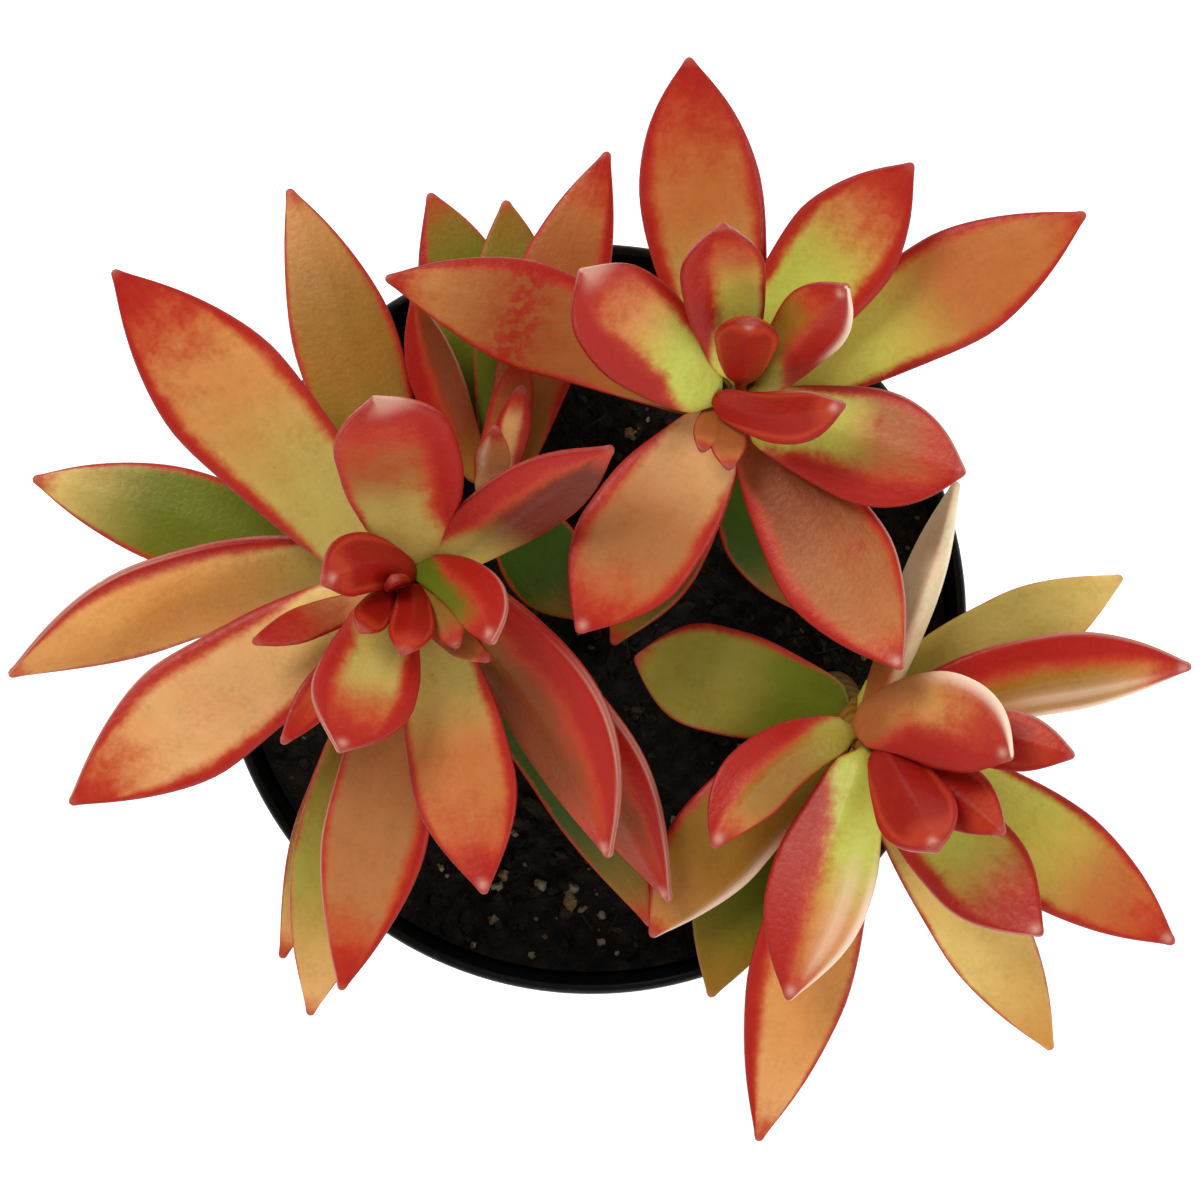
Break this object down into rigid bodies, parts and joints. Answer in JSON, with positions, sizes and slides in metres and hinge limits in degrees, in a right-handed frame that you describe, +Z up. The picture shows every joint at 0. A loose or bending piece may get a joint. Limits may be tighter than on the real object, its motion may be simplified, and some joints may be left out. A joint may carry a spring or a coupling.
{
  "type": "potted firestorm sedum",
  "caption": "Small succulent with rosettes of thick, pointed, red-edged leaves on short bare stems, standing in dark soil in a round black nursery pot.",
  "frame": {"origin": "middle of the flat underside of the pot", "axes": "+Z up along the pot's axis; seen from above, +X is to the right rosette and +Y to the top rosette"},
  "size_m": [0.1365, 0.124, 0.129],
  "materials": {
    "pot_plastic": "satin black moulded plastic",
    "soil_mix": "dark crumbly peat and bark mix with pale mineral grains",
    "leaf_skin": "smooth waxy leaf, green to orange with red edges",
    "mineral_grain": "rough pale expanded mineral"
  },
  "bodies": {
    "root": {"pot": "pot_plastic", "soil": "soil_mix", "leafy_stem_left": "leaf_skin", "leafy_stem_top": "leaf_skin", "leafy_stem_right": "leaf_skin", "leafy_stem_back": "leaf_skin"}
  },
  "joints": []
}
